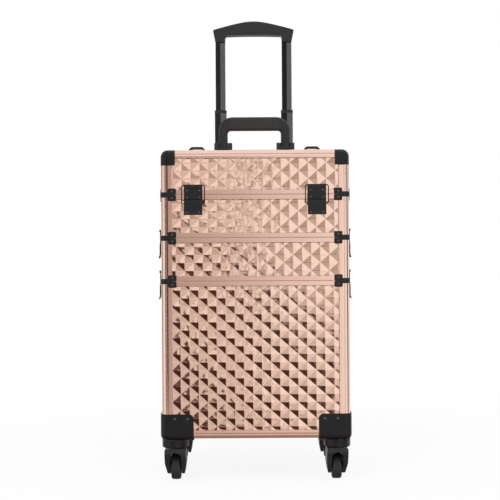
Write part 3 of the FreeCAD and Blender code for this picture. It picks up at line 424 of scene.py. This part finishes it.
def rivets(name, body, spots, radius, rise):
    """Domed heads; each spot is a place in mm from the middle of the case, and a direction out."""
    mesh = bmesh.new()
    circle = [(math.cos(angle), math.sin(angle))
              for angle in (2 * math.pi * i / RING for i in range(RING))]
    for place, out in spots:
        turned = Vector(out).to_track_quat("Z", "Y").to_matrix().to_4x4()
        at = Matrix.Translation(Vector(place) * MM + Vector((0, CASE_Y, 0))) @ turned
        rings = [[mesh.verts.new(at @ Vector((wide * radius * c, wide * radius * s, high * rise)))
                  for c, s in circle] for wide, high in DOME]
        tip = mesh.verts.new(at @ Vector((0, 0, rise)))
        for lower, upper in zip(rings, rings[1:]):
            for i in range(RING):
                mesh.faces.new((lower[i - 1], lower[i], upper[i], upper[i - 1]))
        for i in range(RING):
            mesh.faces.new((rings[-1][i - 1], rings[-1][i], tip))
        mesh.faces.new(list(reversed(rings[0])))
    data = bpy.data.meshes.new(name)
    mesh.to_mesh(data)
    mesh.free()
    data.shade_smooth()
    data.materials.append(nickel.material)
    item = bpy.data.objects.new(name, data)
    scene.collection.objects.link(item)
    item.visible_glossy = False
    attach(item, body)
    print(name, len(spots), "heads")


print("heads of", RING, "sides")

# %% [markdown]
# Clips grip the posts at each seam, one half above and one below, with a rivet in each tab. The top
# seam has them at the front only, because the lid is hinged at the rear. Each guard on the lower
# corners has two rivets on each of its sides. All these places are in mm.

# %% Rivets of the clips and guards
SEAMS = {"low": 364, "mid": 442, "top": 520}
CLIP_SEAMS = {"base": [("low", -1)], "tier_2": [("low", 1), ("mid", -1)],
              "tier_1": [("mid", 1), ("top", -1)], "lid": [("top", 1)]}
TAB_INSET, TAB_FROM_SEAM, CLIP_OUT = 20.5, 6, 1.4
GUARD_INSETS, GUARD_HEIGHT, GUARD_OUT = (23.4, 46.4), 116.3, 2.6


def beside_post(x, y, inset, out, height):
    """The two places beside a corner post, one on each side that meets there."""
    return [((x * (HALF_WIDE - inset), y * (HALF_DEEP + out), height), (0, y, 0)),
            ((x * (HALF_WIDE + out), y * (HALF_DEEP - inset), height), (x, 0, 0))]


for section, seams in CLIP_SEAMS.items():
    heads = []
    for seam, up in seams:
        for x in (-1, 1):
            for y in (-1,) if seam == "top" else (-1, 1):
                heads += beside_post(x, y, TAB_INSET, CLIP_OUT, SEAMS[seam] + TAB_FROM_SEAM * up)
    rivets(f"{section}_clip_rivets", section, heads, radius=1.9 * MM, rise=0.7 * MM)
heads = []
for x in (-1, 1):
    for y in (-1, 1):
        for inset in GUARD_INSETS:
            heads += beside_post(x, y, inset, GUARD_OUT, GUARD_HEIGHT)
rivets("guard_rivets", "base", heads, radius=2.6 * MM, rise=0.9 * MM)

# %% [markdown]
# A draw latch has four rivets, two through the strike and two through the plate, and two small
# bosses near the lower edge of its lever. They are placed by how far they are out from the latch's
# seat and up from the seam, in mm, and turned to the side of the case that the latch sits on. The
# seat lies slightly behind the outer faces of the frame.

# %% Rivets of the latches
FRONT_LATCH = 111
LATCH_PLACES = {"front_left": ("front", -FRONT_LATCH, "top", "tier_1", "lid"),
                "front_right": ("front", FRONT_LATCH, "top", "tier_1", "lid"),
                "mid_left": ("left", 0, "mid", "tier_2", "tier_1"),
                "mid_right": ("right", 0, "mid", "tier_2", "tier_1"),
                "low_left": ("left", 0, "low", "base", "tier_2"),
                "low_right": ("right", 0, "low", "base", "tier_2")}
LATCH_HEADS = {"strike": (8.6, 7.0), "plate": (8.2, -5.6), "lever": (12.9, -32.6)}
PAIR_HALF = 10.9
SEAT = 0.8


def latch_spot(side, along, out, height):
    """A place on a latch, and the direction out of the case there."""
    if side == "front":
        return (along, -(HALF_DEEP - SEAT + out), height), (0, -1, 0)
    sign = 1 if side == "right" else -1
    return (sign * (HALF_WIDE - SEAT + out), along, height), (sign, 0, 0)


for spot, (side, along, seam, lower, upper) in LATCH_PLACES.items():
    bodies = {"strike": upper, "plate": lower, "lever": f"latch_lever_{spot}"}
    for part, (out, up) in LATCH_HEADS.items():
        heads = [latch_spot(side, along + aside, out, SEAMS[seam] + up)
                 for aside in (-PAIR_HALF, PAIR_HALF)]
        rivets(f"latch_{spot}_{part}_rivets", bodies[part], heads, radius=1.7 * MM, rise=0.6 * MM)

# %% [markdown]
# ## The studio
#
# The photograph has a white ground and soft light from all round. To the camera the world is white,
# and to dull surfaces it is a plain level of light. Mirrors need more than that: in an evenly white
# room every facet of a pyramid would look the same. So what mirrors see is a studio, made of a few
# areas with soft edges, which need no picture of a real room. They repeat for the four sides of the
# case. For that, the direction of a ray is first turned into how far it goes across and up for each
# step straight out from the nearest side.

# %% The direction of a ray
QUARTER = math.pi / 2

world = bpy.data.worlds.new("studio")
scene.world = world
world.use_nodes = True
air = Graph(world.node_tree)
x, y, z = air.parts(air.node("ShaderNodeTexCoord", {}, {}, "Generated"))
bearing = air.maths("ARCTAN2", y, x)
turn = air.maths("FLOORED_MODULO", bearing + QUARTER / 2, QUARTER) - QUARTER / 2
ahead = air.maths("SQRT", x * x + y * y) * air.maths("COSINE", turn)
across = air.maths("TANGENT", turn)
rise = z / ahead
print("direction from", len(air.tree.nodes), "nodes")

# %% [markdown]
# Straight ahead stands a pale wall, darker high up and lighter low down, between white panels. Each
# area is laid over the ones before it by its share, which is 1 inside it, 0 outside and in between
# at its edges. Left and right are those of the photograph.

# %% Wall and panels
WHITE = (1, 1, 1)
WALL, HIGH_WALL = (0.68, 0.60, 0.565), (0.50, 0.415, 0.375)
LOW_WALL_RIGHT, LOW_WALL_LEFT = (0.72, 0.67, 0.635), (0.62, 0.54, 0.49)
LOW_PANEL_RIGHT, PANEL_LEFT = (0.86, 0.79, 0.765), (1, 0.92, 0.89)

left = across.rising(0.03, -0.03)
high_wall, low_wall = rise.rising(0.34, 0.44), rise.rising(-0.2, -0.3)
wall = air.between(high_wall, WALL, HIGH_WALL)
wall = air.between(low_wall, wall, air.between(left, LOW_WALL_RIGHT, LOW_WALL_LEFT))
low_panel = rise.rising(-0.44, -0.56)
panel = air.between(left, air.between(low_panel, WHITE, LOW_PANEL_RIGHT), PANEL_LEFT)
in_wall = abs(across).rising(0.41, 0.365)
studio = air.between(in_wall, panel, wall)
print("wall and panels")

# %% [markdown]
# A band at the height of the case makes the dark facets. From the right it goes from white to grey,
# then to nearly black, and to white again at the far left. Its upper edge is level at first and
# then climbs to the left. Another dark screen stands far to the right.

# %% Screens
BAND_GREY, BAND_BLACK = (0.47, 0.415, 0.395), (0.068, 0.029, 0.021)
FAR_SCREEN = (0.13, 0.12, 0.115)
CLIMB, CLIMB_FROM = 1.6, -0.36

right_end, far_left = across.rising(-0.1, 0.12), across.rising(-0.53, -0.6)
near_left = across.rising(-0.12, -0.2)
band = air.between(right_end, BAND_GREY, WHITE)
band = air.between(near_left, band, BAND_BLACK)
band = air.between(far_left, band, WHITE)
band_edge = rise + CLIMB * air.maths("MINIMUM", across, CLIMB_FROM)
in_band = band_edge.rising(-0.37, -0.43) * rise.rising(-0.22, -0.16)
studio = air.between(in_band, studio, band)
in_far_screen = across.rising(0.71, 0.77) * rise.rising(0.02, 0.08)
studio = air.between(in_far_screen, studio, FAR_SCREEN)
print("band and far screen")

# %% [markdown]
# The ceiling is white, and brown towards the left of the room, whichever side of the case sees it.
# Straight ahead a white panel hangs below the ceiling, and the floor under it is brown. The floor
# is also brown low down on the right, and nearly black on the left, as far as a sloping edge.

# %% Ceiling and floor
BROWN_CEILING, BROWN_FLOOR = (0.55, 0.45, 0.41), (0.36, 0.25, 0.21)
RIGHT_FLOOR, LEFT_FLOOR = (0.26, 0.16, 0.13), (0.062, 0.025, 0.017)
EDGE_RISE, EDGE_SLOPE, EDGE_END = -0.754, 0.78, -0.6

brown_side = (x / z).rising(-0.02, -0.3)
in_ceiling = rise.rising(0.66, 0.9)
studio = air.between(in_ceiling, studio, air.between(brown_side, WHITE, BROWN_CEILING))
straight = abs(across).rising(0.26, 0.2)
overhead, below = rise.rising(0.14, 0.22), rise.rising(-0.4, -0.7)
studio = air.between(straight * overhead, studio, WHITE)
studio = air.between(straight * below, studio, BROWN_FLOOR)
in_right_floor = rise.rising(-0.67, -0.73) * across.rising(0.36, 0.42)
studio = air.between(in_right_floor, studio, RIGHT_FLOOR)
floor_edge = EDGE_RISE - EDGE_SLOPE * air.maths("MAXIMUM", across, EDGE_END)
in_left_floor = (floor_edge - rise).rising(-0.02, 0.02) * across.rising(-0.255, -0.285)
studio = air.between(in_left_floor, studio, LEFT_FLOOR)
print("ceiling and floor")

# %% [markdown]
# A Light Path node tells what kind of ray has reached the world: one from the camera, one from a
# mirror or one from a dull surface. Mirrors get the studio, the camera gets white, and dull
# surfaces get white at a lower level, so that black parts keep their shading.

# %% What each kind of ray sees
PLAIN_LIGHT = 0.7


def seen_by(graph, *rays):
    """1 for a ray of one of these kinds, and 0 for any other."""
    kinds = [graph.node("ShaderNodeLightPath", {}, {}, f"Is {ray} Ray") for ray in rays]
    share = kinds[0]
    for kind in kinds[1:]:
        share = graph.maths("MAXIMUM", share, kind)
    return share


mirror = seen_by(air, "Glossy", "Transmission")
lit = seen_by(air, "Glossy", "Transmission", "Camera")
air.feed(air.tree.nodes["Background"], {"Color": air.between(mirror, WHITE, studio),
                                        "Strength": PLAIN_LIGHT + (1 - PLAIN_LIGHT) * lit})
print("world nodes", len(air.tree.nodes))

# %% [markdown]
# ## Floor and lamps
#
# The floor is pale paint. To the camera it is partly its own light, so that it is as white as the
# world, and wholly so further off, where no horizon should show. Near the case enough of the paint
# is left for a faint shadow. Mirrors look through it to the studio.

# %% Floor
FLOOR_HALF = 9
NEAR_GLOW = 0.9
NEAR, FAR = 0.4, 1.1

floor_mesh = bpy.data.meshes.new("floor")
corners = [(x * FLOOR_HALF, y * FLOOR_HALF, 0) for x, y in ((-1, -1), (1, -1), (1, 1), (-1, 1))]
floor_mesh.from_pydata(corners, [], [(0, 1, 2, 3)])
floor = bpy.data.objects.new("floor", floor_mesh)
scene.collection.objects.link(floor)
floor.visible_glossy = False
ground = Finish("pale_floor")
from_case = ground.node("ShaderNodeVectorMath", {"operation": "LENGTH"}, {0: ground.place}, "Value")
glowing = NEAR_GLOW + (1 - NEAR_GLOW) * from_case.rising(NEAR, FAR)
ground.wear(Base_Color=(0.93, 0.93, 0.93, 1), Roughness=0.9)
paint = Value(ground, ground.shader.outputs[0])
glow = ground.node("ShaderNodeEmission", {}, {"Color": (*WHITE, 1)})
own_light = glowing * seen_by(ground, "Camera", "Transmission")
surface = ground.node("ShaderNodeMixShader", {}, {0: own_light, 1: paint, 2: glow})
ground.feed(ground.tree.nodes["Material Output"], {"Surface": surface})
floor_mesh.materials.append(ground.material)
print("floor", 2 * FLOOR_HALF, "m wide")

# %% [markdown]
# Two large soft lamps, one at each side of the camera, shape the black parts. They hide from
# mirrors, where they would show as hot spots in the facets.

# %% Lamps
LIT_POINT = Vector((0, 0, 0.4))


def lamp(name, place, size, power):
    """A soft lamp of this width and height in metres, turned to the case."""
    data = bpy.data.lights.new(name, "AREA")
    data.shape = "RECTANGLE"
    data.size, data.size_y = size
    data.energy = power
    item = bpy.data.objects.new(name, data)
    item.location = place
    item.rotation_euler = (LIT_POINT - Vector(place)).to_track_quat("-Z", "Y").to_euler()
    item.visible_glossy = False
    scene.collection.objects.link(item)
    print("lamp", name, power, "W")


lamp("key", place=(-1.3, -2.2, 2.0), size=(1.2, 1.2), power=34)
lamp("fill", place=(1.6, -1.8, 1.3), size=(1.0, 1.4), power=16)

# %% [markdown]
# ## Ready to render
#
# The view transform stays plain, so colours come out as written.

# %% Plain view transform
scene.view_settings.view_transform = "Standard"
